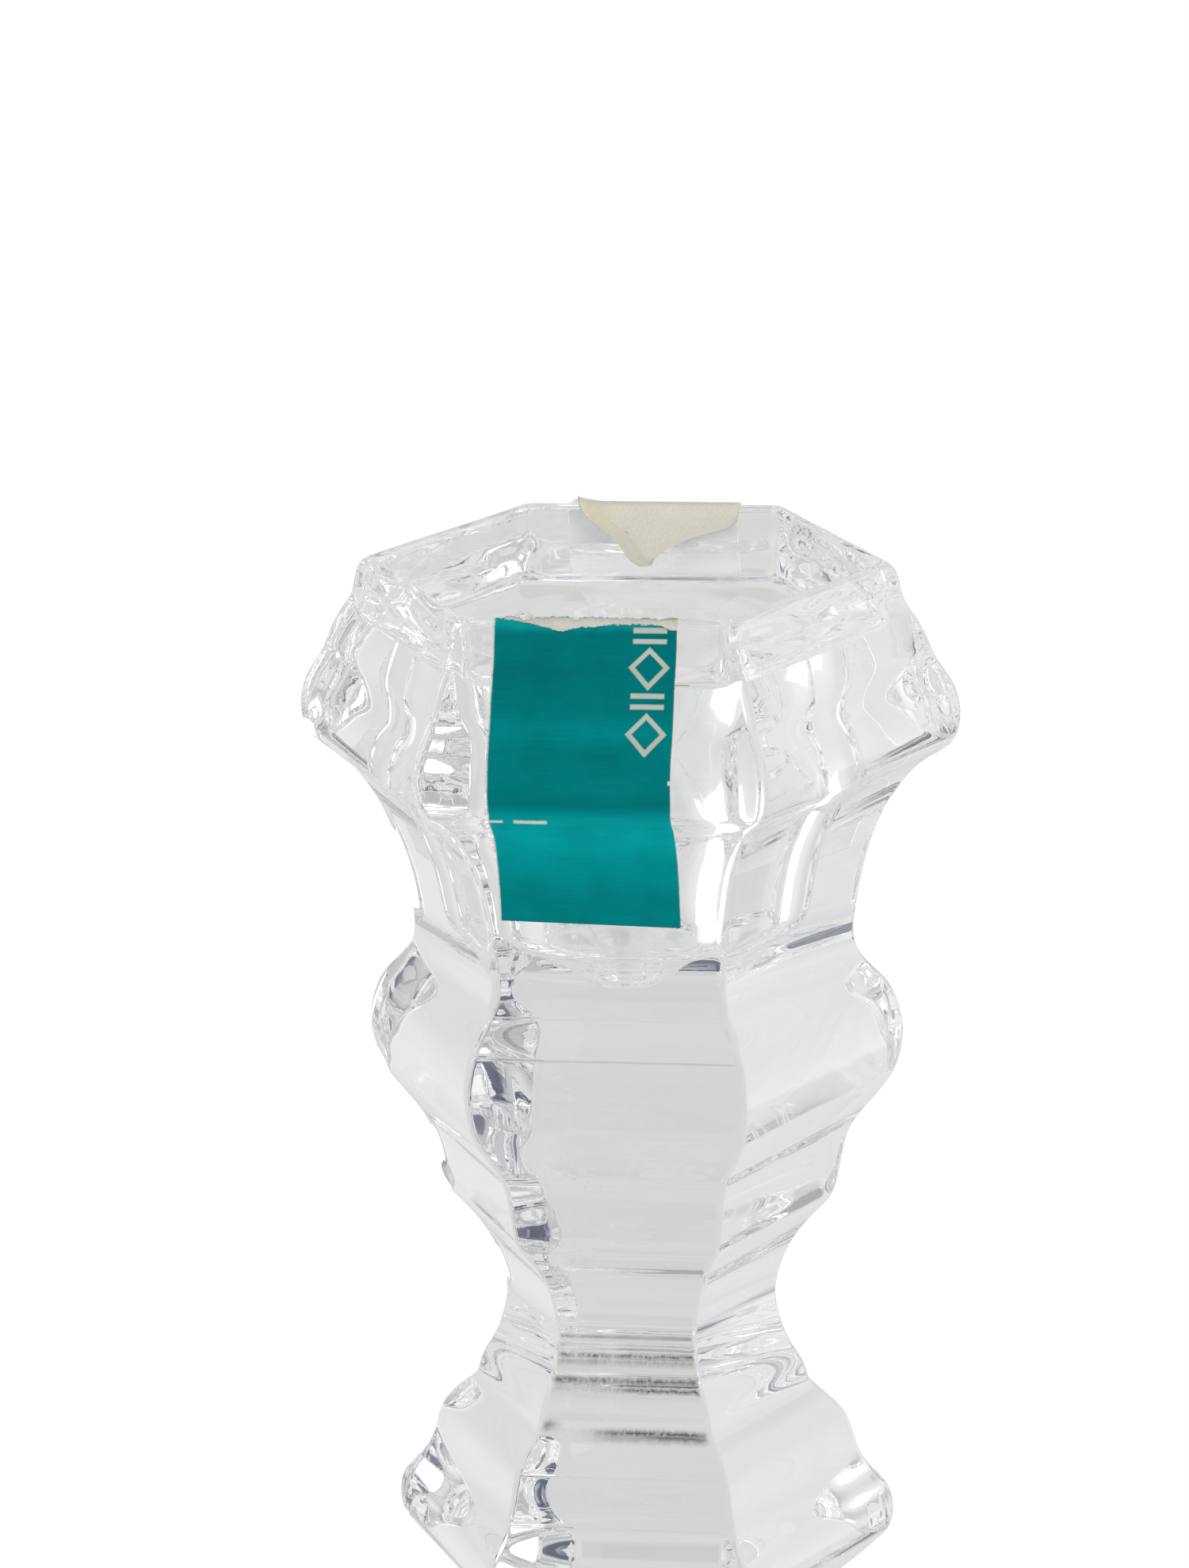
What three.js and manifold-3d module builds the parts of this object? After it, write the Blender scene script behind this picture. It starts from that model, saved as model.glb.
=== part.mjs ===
// Pressed clear-glass candlestick with a hexagonal baluster body and the two
// torn halves of the paper strip label that was once stuck across its mouth.
// Units are millimetres, +Z is up, the origin is the centre of the base.
//
// The body is one pressed piece: a regular hexagon in plan at every height,
// so its outside is a six-segment lathe of a corner-radius profile, and the
// candle socket is a round tapered hole sunk into a shallow hexagonal recess.

import * as THREE from 'three';
import { mergeVertices } from 'three/addons/utils/BufferGeometryUtils.js';
import Module from 'manifold-3d';

// ---------------------------------------------------------------- dimensions
const WAIST_Z = 120.5;          // height of the narrow waist above the base
const RIM_Z = WAIST_Z + 69.6;   // top of the rim: 190.1 mm overall
const FACETS = 6;
const FLAT = Math.cos(Math.PI / FACETS);   // corner radius -> half across flats

// Outside, as [corner radius, height above the waist], from the base up.
const OUTSIDE = [
  // foot
  [46.60, -120.50], [47.15, -120.10], [47.50, -119.20], [47.50, -115.60], [47.25, -114.30],
  [46.70, -113.20], [45.80, -112.00], [43.90, -110.20], [40.80, -107.60], [37.40, -104.60],
  [34.40, -101.60], [32.20, -98.90], [31.20, -97.20], [30.60, -95.60], [30.00, -93.80],
  [29.20, -92.40], [27.70, -91.00], [25.20, -89.20], [22.60, -87.00], [20.20, -84.60],
  [18.50, -82.20], [17.50, -80.00], [17.10, -78.00],
  // lower baluster
  [17.35, -76.20], [18.20, -74.70], [19.50, -73.20], [20.30, -71.60], [20.60, -69.80],
  [20.35, -67.20], [19.55, -63.50], [18.30, -59.00], [16.90, -54.20], [15.60, -49.40],
  [14.60, -44.80], [13.90, -41.00], [13.60, -38.00], [13.70, -35.60], [14.20, -33.40],
  [15.20, -31.20], [16.60, -29.20],
  // knop
  [18.90, -26.90], [20.60, -25.35], [22.05, -23.95], [22.80, -23.20], [23.20, -22.20],
  [23.31, -21.00], [23.15, -19.60], [22.65, -18.50], [21.70, -17.50], [20.85, -16.60],
  [20.20, -15.50], [19.75, -14.20], [19.40, -12.90], [18.95, -11.80], [17.90, -10.55],
  [16.60, -9.45], [15.75, -8.85], [15.42, -7.95], [15.10, -6.85], [14.50, -5.80],
  [13.80, -4.70], [13.20, -3.30], [12.78, -1.80], [12.52, -0.20],
  // waist and cup
  [12.68, 1.45], [13.08, 2.90], [13.75, 4.60], [14.75, 6.25], [15.85, 7.60],
  [16.90, 8.70], [17.75, 9.65], [18.25, 10.75], [18.60, 12.40], [18.95, 14.20],
  [19.35, 15.80], [19.90, 17.00], [20.75, 18.15], [21.85, 19.45], [22.90, 20.80],
  [23.75, 22.10], [24.28, 23.70], [24.57, 25.70], [24.45, 27.20], [24.00, 28.90],
  [23.30, 30.30], [22.30, 31.45], [21.30, 32.40], [20.60, 33.35], [20.22, 34.40],
  // neck and flange
  [20.20, 36.00], [20.50, 38.10], [20.95, 40.50], [21.55, 43.00], [22.35, 45.30],
  [23.25, 47.25], [24.40, 48.95], [25.70, 50.60], [27.30, 51.90], [28.60, 52.65],
  [29.40, 53.40], [29.85, 54.80], [29.98, 56.00], [29.75, 57.40], [29.25, 58.70],
  [28.40, 59.90], [27.65, 61.10], [26.90, 62.90], [26.00, 64.50], [24.95, 66.00],
  // collar and rim
  [24.62, 67.10], [24.40, 68.20], [24.05, 68.95], [23.60, 69.40], [23.05, 69.60],
];

// Inner edge of the rim and the hexagonal recess, [corner radius, height above the waist].
const RECESS = [
  [22.68, 69.35], [22.58, 68.80], [22.54, 66.50], [22.50, 64.00], [22.44, 63.00],
];
const RECESS_FLOOR = 62.5;       // height of the recess floor above the waist

// Round candle socket, as [radius, height above the waist], from its rounded tip up.
const SOCKET = [
  [0, 31.60], [1.60, 31.72], [3.00, 32.25], [4.20, 33.30], [5.20, 34.60], [6.60, 35.45],
  [8.50, 36.05], [10.30, 36.70], [11.15, 37.60], [11.35, 38.80], [11.60, 42.00], [12.10, 45.70],
  [12.70, 49.00], [13.30, 52.50], [13.90, 55.00], [14.40, 57.50], [14.80, 59.60], [15.00, 61.40],
  [15.50, 61.90], [16.40, 62.25], [17.60, 62.50], [17.60, 72.00], [0, 72.00],
];
const SOCKET_SEGMENTS = 48;

// Shallow recess under the foot; the foot stands on the ring around it.
const UNDERSIDE = [[0, 2.2], [24.0, 2.0], [33.0, 1.3], [36.0, 0.0], [36.0, -1.0], [0, -1.0]];

// Paper strip label, in two torn halves. Each is a thin solid for paper and adhesive, held a
// little off the glass so that the pieces touch without sharing any volume.
const LABEL_WIDTH = 15.8;
const LABEL_THICK = 0.22;
const LABEL_GAP = 0.30;
const FRONT_LABEL_X = -0.95;     // the strip sits a little left of the middle of its facet
const FRONT_LABEL_BOTTOM = 41.6; // heights above the waist
const FRONT_LABEL_TOP = 69.35;
const BACK_LABEL_X = 0.1;
const BACK_LABEL_BOTTOM = 43.0;
const TONGUE_TIP_X = -0.4;       // the torn tongue of the back half hangs inside the rim
const TONGUE_TIP_Z = 64.1;
const TONGUE_BASE_Z = 68.6;      // the tongue narrows from this height down to its tip

// ------------------------------------------------------------------- helpers
const wasm = await Module();
wasm.setup();

function toSolid(geometry) {
  const g = geometry.index ? geometry.toNonIndexed() : geometry.clone();
  g.deleteAttribute('normal');
  g.deleteAttribute('uv');
  const merged = mergeVertices(g, 1e-4);
  const src = merged.index.array;
  const tri = [];
  for (let i = 0; i < src.length; i += 3) {
    const [a, b, c] = [src[i], src[i + 1], src[i + 2]];
    if (a !== b && b !== c && c !== a) tri.push(a, b, c);
  }
  return new wasm.Manifold(new wasm.Mesh({
    numProp: 3,
    vertProperties: new Float32Array(merged.attributes.position.array),
    triVerts: new Uint32Array(tri),
  }));
}

function toGeometry(solid) {
  const m = solid.getMesh();
  const stride = m.numProp;
  const n = m.vertProperties.length / stride;
  const pos = new Float32Array(n * 3);
  for (let i = 0; i < n; i++) for (let k = 0; k < 3; k++) pos[3 * i + k] = m.vertProperties[i * stride + k];
  const g = new THREE.BufferGeometry();
  g.setAttribute('position', new THREE.BufferAttribute(pos, 3));
  g.setIndex(Array.from(m.triVerts));
  g.computeVertexNormals();
  return g;
}

// A lathe about +Z. Profile points are [radius, z] and run from the axis at the bottom
// to the axis at the top. With six segments the corners fall on +X, -X and every 60 degrees.
function lathe(profile, segments) {
  const pts = profile.map(([r, z]) => new THREE.Vector2(r, z));
  const g = new THREE.LatheGeometry(pts, segments, Math.PI / 2);
  g.rotateX(Math.PI / 2);
  return g;
}

// Distance from the axis to the middle of a facet at a height above the waist.
function facetDistance(z) {
  for (let i = 0; i + 1 < OUTSIDE.length; i++) {
    const [r0, z0] = OUTSIDE[i];
    const [r1, z1] = OUTSIDE[i + 1];
    if (z >= z0 && z <= z1) return FLAT * (r0 + (r1 - r0) * (z - z0) / (z1 - z0));
  }
  return FLAT * OUTSIDE[OUTSIDE.length - 1][0];
}

// Strip of the given width and thickness over a path of [distance from the axis, height] points
// that runs up the outside of a facet. Returns a closed outline in that plane.
function stripOutline(path, gap, thick) {
  const at = (i) => new THREE.Vector2(path[i][0], path[i][1]);
  const near = [];
  const far = [];
  for (let i = 0; i < path.length; i++) {
    const before = at(Math.max(i - 1, 0));
    const after = at(Math.min(i + 1, path.length - 1));
    const t0 = i > 0 ? at(i).sub(before).normalize() : after.clone().sub(at(i)).normalize();
    const t1 = i < path.length - 1 ? after.clone().sub(at(i)).normalize() : t0;
    const t = t0.clone().add(t1).normalize();
    const n = new THREE.Vector2(t.y, -t.x);            // away from the glass
    const stretch = 1 / Math.max(0.6, n.dot(new THREE.Vector2(t0.y, -t0.x)));
    near.push(at(i).addScaledVector(n, gap * stretch));
    far.push(at(i).addScaledVector(n, (gap + thick) * stretch));
  }
  return [...near, ...far.reverse()];
}

// Outline in (distance, height) extruded across the facet, then stood up so that the distance
// runs along -Y for the front facet or +Y for the back one.
function strip(outline, width, centreX, toFront) {
  const g = new THREE.ExtrudeGeometry(new THREE.Shape(outline), { depth: width, bevelEnabled: false, steps: 1 });
  // shape x -> distance, shape y -> height, extrusion -> across
  g.applyMatrix4(new THREE.Matrix4().set(
    0, 0, toFront ? -1 : 1, toFront ? centreX + width / 2 : centreX - width / 2,
    toFront ? -1 : 1, 0, 0, 0,
    0, 1, 0, 0,
    0, 0, 0, 1,
  ));
  return g;
}

// ---------------------------------------------------------------- glass body
const outside = toSolid(lathe([[0, -WAIST_Z], ...OUTSIDE, [0, 69.6]], FACETS));
const recess = toSolid(lathe([
  [0, RECESS_FLOOR], [RECESS[RECESS.length - 1][0], RECESS_FLOOR],
  ...[...RECESS].reverse(), [23.02, 69.62], [23.02, 72.0], [0, 72.0],
], FACETS));
const socket = toSolid(lathe(SOCKET, SOCKET_SEGMENTS));
const underside = toSolid(lathe(UNDERSIDE.map(([r, z]) => [r, z - WAIST_Z]).reverse(), FACETS));
const glass = outside.subtract(recess).subtract(socket).subtract(underside);

// -------------------------------------------------------------------- labels
const outer = OUTSIDE.filter(([, z]) => z > 38).map(([r, z]) => [r * FLAT, z]);
const between = (bottom, top) => [
  [facetDistance(bottom), bottom],
  ...outer.filter(([, z]) => z > bottom + 0.2 && z < top - 0.1),
  [facetDistance(top), top],
];
const frontLabel = toSolid(strip(stripOutline(between(FRONT_LABEL_BOTTOM, FRONT_LABEL_TOP), LABEL_GAP, LABEL_THICK),
  LABEL_WIDTH, FRONT_LABEL_X, true));

const overRim = [
  ...between(BACK_LABEL_BOTTOM, 69.4), [23.05 * FLAT, 69.6],
  ...RECESS.filter(([, z]) => z > TONGUE_TIP_Z + 0.2).map(([r, z]) => [r * FLAT, z]),
  [22.50 * FLAT, TONGUE_TIP_Z],
];
let backLabel = toSolid(strip(stripOutline(overRim, LABEL_GAP, LABEL_THICK), LABEL_WIDTH, BACK_LABEL_X, false));
for (const side of [-1, 1]) {
  // wedge cut away beside the tongue, inside the rim only
  const edge = BACK_LABEL_X + side * (LABEL_WIDTH / 2 + 1);
  const wedge = new THREE.Shape([
    new THREE.Vector2(edge, TONGUE_BASE_Z + 0.6), new THREE.Vector2(TONGUE_TIP_X + side * 0.3, TONGUE_TIP_Z + 0.15),
    new THREE.Vector2(TONGUE_TIP_X + side * 0.3, TONGUE_TIP_Z - 2), new THREE.Vector2(edge, TONGUE_TIP_Z - 2),
  ]);
  const g = new THREE.ExtrudeGeometry(wedge, { depth: 2.2, bevelEnabled: false, steps: 1 });
  g.rotateX(Math.PI / 2);            // shape y -> height, extrusion -> -Y
  g.translate(0, 19.42, 0);
  backLabel = backLabel.subtract(toSolid(g));
}

// --------------------------------------------------------------------- group
const clearGlass = new THREE.MeshStandardMaterial({ color: 0xeef1f1, roughness: 0.02, metalness: 0, transparent: true, opacity: 0.35 });
const tealPaper = new THREE.MeshStandardMaterial({ color: 0x007c7d, roughness: 0.62, metalness: 0 });
const tealPaperBack = new THREE.MeshStandardMaterial({ color: 0x0a7f80, roughness: 0.66, metalness: 0 });

function part(name, solid, material) {
  const mesh = new THREE.Mesh(toGeometry(solid), material);
  mesh.name = name;
  return mesh;
}

const group = new THREE.Group();
group.add(part('glass_body', glass, clearGlass));
group.add(part('front_label', frontLabel, tealPaper));
group.add(part('back_label', backLabel, tealPaperBack));
group.children.forEach((mesh) => { mesh.position.z = WAIST_Z; });

export default group;
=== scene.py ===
"""Pressed clear-glass hexagonal candlestick with the two torn halves of its paper strip label."""

import math

import bpy
import numpy as np
from mathutils import Matrix, Vector


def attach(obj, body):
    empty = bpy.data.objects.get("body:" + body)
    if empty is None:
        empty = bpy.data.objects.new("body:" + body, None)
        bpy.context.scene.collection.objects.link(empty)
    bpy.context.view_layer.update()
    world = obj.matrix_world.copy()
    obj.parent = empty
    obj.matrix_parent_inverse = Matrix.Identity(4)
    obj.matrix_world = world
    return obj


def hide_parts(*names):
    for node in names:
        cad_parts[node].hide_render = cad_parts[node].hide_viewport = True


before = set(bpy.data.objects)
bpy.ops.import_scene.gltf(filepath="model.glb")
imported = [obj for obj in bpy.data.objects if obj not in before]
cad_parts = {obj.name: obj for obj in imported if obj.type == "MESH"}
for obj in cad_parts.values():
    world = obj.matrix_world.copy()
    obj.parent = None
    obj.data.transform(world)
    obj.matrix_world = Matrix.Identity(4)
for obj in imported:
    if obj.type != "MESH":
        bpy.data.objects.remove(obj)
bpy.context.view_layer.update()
ROOT = "root"

scene = bpy.context.scene
MM = 0.001
WAIST = 120.5                      # height of the narrow waist above the base, mm
FLAT = math.cos(math.pi / 6)       # corner radius -> half across flats

# ------------------------------------------------------------------ profile
# Outside, as (corner radius, height above the waist) in mm, from the base up.
OUTSIDE = [
    (46.60, -120.50), (47.15, -120.10), (47.50, -119.20), (47.50, -115.60), (47.25, -114.30),
    (46.70, -113.20), (45.80, -112.00), (43.90, -110.20), (40.80, -107.60), (37.40, -104.60),
    (34.40, -101.60), (32.20, -98.90), (31.20, -97.20), (30.60, -95.60), (30.00, -93.80),
    (29.20, -92.40), (27.70, -91.00), (25.20, -89.20), (22.60, -87.00), (20.20, -84.60),
    (18.50, -82.20), (17.50, -80.00), (17.10, -78.00), (17.35, -76.20), (18.20, -74.70),
    (19.50, -73.20), (20.30, -71.60), (20.60, -69.80), (20.35, -67.20), (19.55, -63.50),
    (18.30, -59.00), (16.90, -54.20), (15.60, -49.40), (14.60, -44.80), (13.90, -41.00),
    (13.60, -38.00), (13.70, -35.60), (14.20, -33.40), (15.20, -31.20), (16.60, -29.20),
    (18.90, -26.90), (20.60, -25.35), (22.05, -23.95), (22.80, -23.20), (23.20, -22.20),
    (23.31, -21.00), (23.15, -19.60), (22.65, -18.50), (21.70, -17.50), (20.85, -16.60),
    (20.20, -15.50), (19.75, -14.20), (19.40, -12.90), (18.95, -11.80), (17.90, -10.55),
    (16.60, -9.45), (15.75, -8.85), (15.42, -7.95), (15.10, -6.85), (14.50, -5.80),
    (13.80, -4.70), (13.20, -3.30), (12.78, -1.80), (12.52, -0.20),
    (12.68, 1.45), (13.08, 2.90), (13.75, 4.60), (14.75, 6.25), (15.85, 7.60),
    (16.90, 8.70), (17.75, 9.65), (18.25, 10.75), (18.60, 12.40), (18.95, 14.20),
    (19.35, 15.80), (19.90, 17.00), (20.75, 18.15), (21.85, 19.45), (22.90, 20.80),
    (23.75, 22.10), (24.28, 23.70), (24.57, 25.70), (24.45, 27.20), (24.00, 28.90),
    (23.30, 30.30), (22.30, 31.45), (21.30, 32.40), (20.60, 33.35), (20.22, 34.40),
    (20.20, 36.00), (20.50, 38.10), (20.95, 40.50), (21.55, 43.00), (22.35, 45.30),
    (23.25, 47.25), (24.40, 48.95), (25.70, 50.60), (27.30, 51.90), (28.60, 52.65),
    (29.40, 53.40), (29.85, 54.80), (29.98, 56.00), (29.75, 57.40), (29.25, 58.70),
    (28.40, 59.90), (27.65, 61.10), (26.90, 62.90), (26.00, 64.50), (24.95, 66.00),
    (24.62, 67.10), (24.40, 68.20), (24.05, 68.95), (23.60, 69.40), (23.05, 69.60),
]

# Each row of the loft: corner radius of the hexagon, radius of the circle, height, how round it is, corner fillet.
UNDER = [
    (0.0, 0.0, -118.30, 1.0, 2.0), (8.0, 8.0, -118.31, 1.0, 2.0), (16.0, 16.0, -118.36, 1.0, 2.0),
    (24.0, 22.5, -118.48, 0.9, 2.0), (29.0, 27.0, -118.80, 0.5, 2.0), (33.0, 31.0, -119.20, 0.1, 2.0),
    (35.2, 33.0, -119.95, 0.0, 2.0), (36.2, 34.0, -120.50, 0.0, 2.0), (41.0, 38.0, -120.50, 0.0, 1.6),
]
INSIDE = [
    (22.80, 21.2, 69.48, 0.0, 0.9), (22.62, 21.2, 69.10, 0.0, 1.0), (22.56, 21.2, 68.50, 0.0, 1.1),
    (22.54, 21.0, 67.50, 0.0, 1.2), (22.52, 21.0, 66.40, 0.0, 1.3), (22.50, 20.8, 65.20, 0.0, 1.4), (22.48, 20.8, 63.60, 0.0, 1.4), (22.30, 20.4, 62.90, 0.0, 1.5),
    (21.60, 19.8, 62.60, 0.03, 1.8), (20.20, 18.5, 62.50, 0.30, 2.6), (18.60, 17.4, 62.40, 0.72, 4.0),
    (17.00, 16.4, 62.25, 1.0, 6.0), (15.90, 15.5, 61.90, 1.0, 6.0), (15.30, 15.0, 61.40, 1.0, 6.0), (15.15, 14.90, 60.60, 1.0, 6.0),
    (15.00, 14.80, 59.60, 1.0, 6.0), (14.60, 14.40, 57.50, 1.0, 6.0), (14.10, 13.90, 55.00, 1.0, 6.0),
    (13.50, 13.30, 52.50, 1.0, 6.0), (13.00, 12.70, 49.00, 1.0, 6.0),
    (12.40, 12.10, 45.70, 1.0, 6.0), (11.90, 11.60, 42.00, 1.0, 6.0), (11.65, 11.35, 38.80, 1.0, 6.0),
    (11.50, 11.15, 37.60, 1.0, 6.0), (10.60, 10.30, 36.70, 1.0, 6.0), (8.80, 8.50, 36.05, 1.0, 4.0),
    (6.80, 6.60, 35.45, 1.0, 3.0), (5.40, 5.20, 34.60, 1.0, 2.5), (4.40, 4.20, 33.30, 1.0, 2.0), (3.10, 3.00, 32.25, 1.0, 1.0),
    (1.60, 1.60, 31.72, 1.0, 0.6), (0.0, 0.0, 31.60, 1.0, 0.4),
]


def fillet_at(z):
    """Corner fillet of the outside at a height above the waist, mm."""
    return float(np.interp(z, [-121, -114, -95, -60, -24, 0, 30, 52, 56, 66, 69.6],
                           [1.6, 1.6, 1.2, 0.8, 1.05, 0.55, 1.15, 1.35, 1.50, 0.90, 0.90]))


def spline(points, step):
    """Centripetal Catmull-Rom through rows of numbers, resampled finely. Distance is measured on columns 0 and 2."""
    p = np.array(points, float)
    flat = p[:, [0, 2]]
    p = np.vstack([2 * p[0] - p[1], p, 2 * p[-1] - p[-2]])
    flat = p[:, [0, 2]]
    out = []
    for i in range(1, len(p) - 2):
        a, b, c, d = p[i - 1], p[i], p[i + 1], p[i + 2]
        t0 = 0.0
        t1 = t0 + max(np.linalg.norm(flat[i] - flat[i - 1]), 1e-6) ** 0.5
        t2 = t1 + max(np.linalg.norm(flat[i + 1] - flat[i]), 1e-6) ** 0.5
        t3 = t2 + max(np.linalg.norm(flat[i + 2] - flat[i + 1]), 1e-6) ** 0.5
        n = max(2, int(math.ceil(np.linalg.norm(flat[i + 1] - flat[i]) / step)))
        for k in range(n):
            t = t1 + (t2 - t1) * k / n
            a1 = (t1 - t) / (t1 - t0) * a + (t - t0) / (t1 - t0) * b
            a2 = (t2 - t) / (t2 - t1) * b + (t - t1) / (t2 - t1) * c
            a3 = (t3 - t) / (t3 - t2) * c + (t - t2) / (t3 - t2) * d
            b1 = (t2 - t) / (t2 - t0) * a1 + (t - t0) / (t2 - t0) * a2
            b2 = (t3 - t) / (t3 - t1) * a2 + (t - t1) / (t3 - t1) * a3
            out.append((t2 - t) / (t2 - t1) * b1 + (t - t1) / (t2 - t1) * b2)
    out.append(p[-2])
    return np.array(out)


def arc(p):
    d = np.hypot(np.diff(p[:, 0]), np.diff(p[:, 2]))
    return np.concatenate([[0], np.cumsum(d)])


def even(p, step):
    s = arc(p)
    n = int(round(s[-1] / step))
    t = np.linspace(0, s[-1], n + 1)
    return np.stack([np.interp(t, s, p[:, k]) for k in range(p.shape[1])], 1)


def soften(p, sigma_out, sigma_in, turn, step):
    """Smooths the path along its length, by an amount that depends on the height and keeps its two ends."""
    out = p.copy()
    sig = np.array([(sigma_out(z) if i < turn + 12 else sigma_in(z)) for i, z in enumerate(p[:, 2])])
    reach = int(3 * sig.max() / step) + 1
    offsets = np.arange(-reach, reach + 1) * step
    padded = np.vstack([2 * p[0] - p[reach:0:-1], p, 2 * p[-1] - p[-2:-reach - 2:-1]])
    for i in range(1, len(p) - 1):
        w = np.exp(-0.5 * (offsets / sig[i]) ** 2)
        out[i] = (padded[i:i + 2 * reach + 1] * w[:, None]).sum(0) / w.sum()
    return out


def sigma_at(z):
    if z < -112:
        return 0.35
    if z > 68.0:
        return 0.22
    if z < -78:
        return 0.9
    return 0.45


def sigma_inside(z):
    return 0.20 if 31.0 < z < 39.0 else 0.40


outside_rows = [(r, r * 0.95, z, 0.0, fillet_at(z)) for r, z in OUTSIDE]
path = even(spline(UNDER + outside_rows + INSIDE, 0.1), 0.1)
i_top = int(np.argmax(path[:, 2]))
path = soften(path, sigma_at, sigma_inside, i_top, 0.1)
path[:, 2] = np.maximum(path[:, 2], -120.5)
path[:, 3] = np.clip(path[:, 3], 0, 1)
path[:, :2] = np.maximum(path[:, :2], 0)

# Rows of the loft: close together where the light bends most.
length = arc(path)
pick, s = [0.0], 0.0
while s < length[-1] - 0.2:
    r, z = np.interp(s, length, path[:, 0]), np.interp(s, length, path[:, 2])
    step = 0.42 if z > -30 else 0.80
    if z < -114 and 44 < r:
        step = 0.35
    if z < -117 and r < 36:
        step = 1.2
    if z > 68.0 or (r < 3.5 and z > 30):
        step = 0.25
    s += step
    pick.append(min(s, length[-1]))
pick[-1] = length[-1]
rows = np.stack([np.interp(pick, length, path[:, k]) for k in range(5)], 1)

# ------------------------------------------------------------------ glass body
NF, NA = 14, 8                     # divisions of a flat and of a corner fillet
PER = NF + NA
FLAT_U = np.sign(np.linspace(-1, 1, NF + 1)) * (1 - (1 - np.abs(np.linspace(-1, 1, NF + 1))) ** 1.7)


def ring(R, rc, w, rho):
    """One closed row of the loft in the plane, starting at the left end of the front facet and running counter-clockwise."""
    a = R * FLAT
    rho = min(rho, 0.45 * a)
    half = (a - rho) * math.tan(math.pi / 6)
    pts = []
    for k in range(6):
        f = math.radians(-90 + 60 * k)
        n, t = np.array([math.cos(f), math.sin(f)]), np.array([-math.sin(f), math.cos(f)])
        hexa = [a * n + half * u * t for u in FLAT_U]
        c = (a - rho) / FLAT * np.array([math.cos(f + math.pi / 6), math.sin(f + math.pi / 6)])
        for j in range(1, NA):
            g = f + math.radians(60) * j / NA
            hexa.append(c + rho * np.array([math.cos(g), math.sin(g)]))
        for m, h in enumerate(hexa):
            g = f + math.radians(60) * (m - NF / 2) / PER
            pts.append((1 - w) * h + w * rc * np.array([math.cos(g), math.sin(g)]))
    return np.array(pts)


def ripple(p):
    """Slow unevenness of pressed glass, in mm along the surface normal, from a few crossed waves."""
    x, y, z = p[..., 0], p[..., 1], p[..., 2]
    w = 0.0
    for amp, kx, ky, kz, ph in (
        (0.014, 0.31, 0.22, 0.45, 0.3), (0.007, -0.42, 0.51, 0.28, 1.9), (0.003, 0.75, -0.33, 0.62, 4.1),
        (0.0015, 0.21, 0.95, -0.84, 2.6), (0.001, -1.25, 0.7, 1.1, 5.2),
    ):
        w = w + amp * np.sin(kx * x + ky * y + kz * z + ph)
    return w


def build_loft():
    rings = []
    for R, rc, z, w, rho in rows[1:-1]:
        xy = ring(R, rc, w, rho)
        rings.append(np.column_stack([xy, np.full(len(xy), z)]))
    rings = np.array(rings)
    # outward direction of the path, for the ripple
    nr = len(rings)
    d = np.gradient(rings, axis=0)
    e = np.roll(rings, -1, axis=1) - np.roll(rings, 1, axis=1)
    nrm = np.cross(e, d)
    nrm /= np.maximum(np.linalg.norm(nrm, axis=2, keepdims=True), 1e-9)
    amp = np.ones(nr)
    amp[(rings[:, 0, 2] < -117.0)] = 0.0
    x, y, z = rings[..., 0], rings[..., 1], rings[..., 2]
    turn = int(np.argmax(z[:, 0]))
    inside = (np.arange(nr) > turn + 2)[:, None]
    wall = np.clip((z - 62.9) / 0.8, 0, 1) * np.clip((69.1 - z) / 0.8, 0, 1) * inside
    bearing = np.arctan2(y, x)
    waves = (0.120 * np.sin(2.0 * z + 2.4 * np.sin(6.0 * bearing + 0.6) + 0.7) + 0.115 * np.sin(1.1 * x + 1.3 * y + 0.9 * z)
             + 0.090 * np.sin(-1.5 * x + 1.2 * y + 1.3 * z + 2.0) + 0.040 * np.sin(2.3 * x + 1.9 * y - 3.0 * z + 1.0))
    wall = wall * np.clip((y + 15.0) / 13.0, 0.30, 1.0)          # calmer at the front
    rings = rings + nrm * (ripple(rings) * amp[:, None] + waves * wall)[..., None]
    m = rings.shape[1]
    verts = [(0.0, 0.0, rows[0, 2])] + [tuple(v) for v in rings.reshape(-1, 3)] + [(0.0, 0.0, rows[-1, 2])]
    faces = []
    for j in range(m):
        faces.append((0, 1 + (j + 1) % m, 1 + j))
    for i in range(nr - 1):
        a0, b0 = 1 + i * m, 1 + (i + 1) * m
        for j in range(m):
            k = (j + 1) % m
            faces.append((a0 + j, a0 + k, b0 + k, b0 + j))
    last, end = 1 + (nr - 1) * m, len(verts) - 1
    for j in range(m):
        faces.append((last + j, last + (j + 1) % m, end))
    return verts, faces


def make_object(name, verts, faces, offset=(0, 0, WAIST)):
    me = bpy.data.meshes.new(name)
    me.from_pydata([((x + offset[0]) * MM, (y + offset[1]) * MM, (z + offset[2]) * MM) for x, y, z in verts], [], faces)
    me.validate()
    me.update()
    ob = bpy.data.objects.new(name, me)
    scene.collection.objects.link(ob)
    return ob


glass = make_object("glass_body_clear", *build_loft())
glass.data.shade_smooth()

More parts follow.
